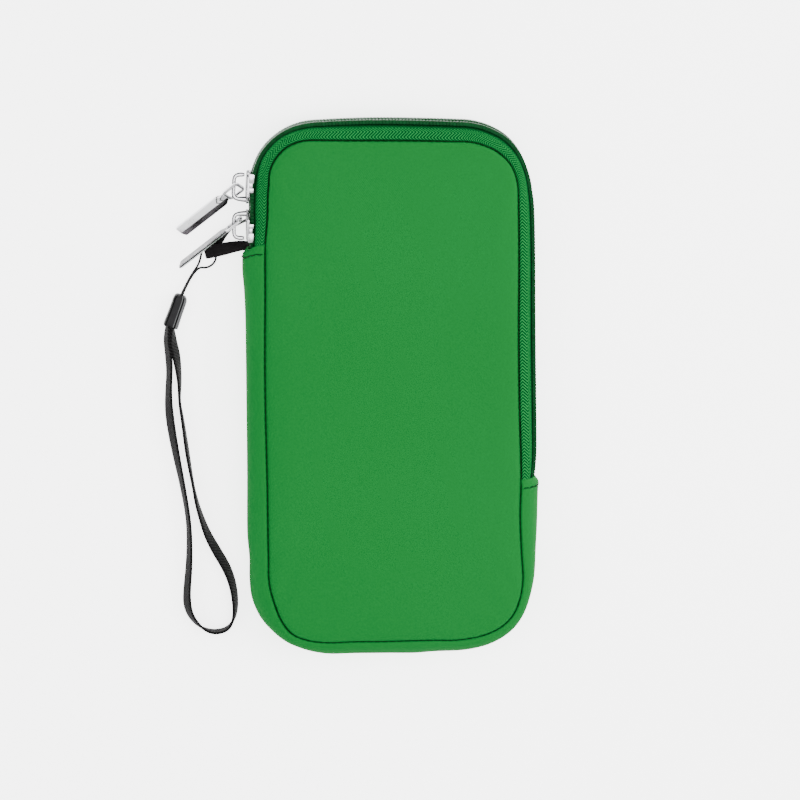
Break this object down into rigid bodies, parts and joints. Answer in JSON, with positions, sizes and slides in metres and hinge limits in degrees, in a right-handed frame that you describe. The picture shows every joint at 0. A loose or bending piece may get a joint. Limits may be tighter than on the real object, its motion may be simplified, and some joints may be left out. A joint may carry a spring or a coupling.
{
  "type": "phone pouch",
  "caption": "Padded flat pouch for a phone, with a side wall, a zip over its top and down its sides, sliders with long pulls, and a wrist strap on a ribbon loop.",
  "frame": {"origin": "middle of the back panel's outside face, with the pouch lying on its back", "axes": "+X to the pouch's right and +Y to its top as seen from the front, +Z out of the front panel"},
  "size_m": [0.1285, 0.1885, 0.021],
  "materials": {
    "panel_fabric": "smooth knit face on padded foam fabric",
    "zip_tape": "woven herringbone tape",
    "zip_coil": "coiled filament",
    "sewing_thread": "sewing thread",
    "seam_binding": "folded binding tape",
    "zip_metal": "nickel plated casting",
    "black_ribbon": "woven ribbon",
    "black_cord": "braided cord",
    "black_bead": "moulded",
    "black_webbing": "flat woven webbing"
  },
  "bodies": {
    "pouch": {"front_panel": "panel_fabric", "back_panel": "panel_fabric", "bottom_gusset": "panel_fabric", "front_zip_tape": "zip_tape", "back_zip_tape": "zip_tape", "front_zip_coil": "zip_coil", "back_zip_coil": "zip_coil", "front_seam_thread": "sewing_thread", "back_seam_thread": "sewing_thread", "left_topstitch": "sewing_thread", "right_topstitch": "sewing_thread", "front_seam_binding": "seam_binding", "back_seam_binding": "seam_binding", "ribbon_tab": "black_ribbon", "strap_cord": "black_cord", "strap_crimp": "black_bead", "wrist_webbing": "black_webbing"},
    "upper_slider": {"upper_slider": "zip_metal"},
    "upper_pull": {"upper_pull": "zip_metal"},
    "lower_slider": {"lower_slider": "zip_metal"},
    "lower_pull": {"lower_pull": "zip_metal"}
  },
  "joints": [
    {"name": "upper_slider_run", "type": "hinge", "parent": "pouch", "child": "upper_slider", "pos_m": [-0.0242, 0.0691, 0.0105], "axis": [0, 0, -1], "range_deg": [0, 78]},
    {"name": "upper_pull_swing", "type": "hinge", "parent": "upper_slider", "child": "upper_pull", "pos_m": [-0.05384, 0.06921, 0.0105], "axis": [0, 0, -1], "range_deg": [-6, 34]},
    {"name": "lower_slider_run", "type": "slide", "parent": "pouch", "child": "lower_slider", "axis": [0, 1, 0], "range_m": [-0.0018, 0.002]},
    {"name": "lower_pull_swing", "type": "hinge", "parent": "lower_slider", "child": "lower_pull", "pos_m": [-0.0538, 0.0577, 0.0105], "axis": [0, 0, 1], "range_deg": [-6, 8]}
  ]
}
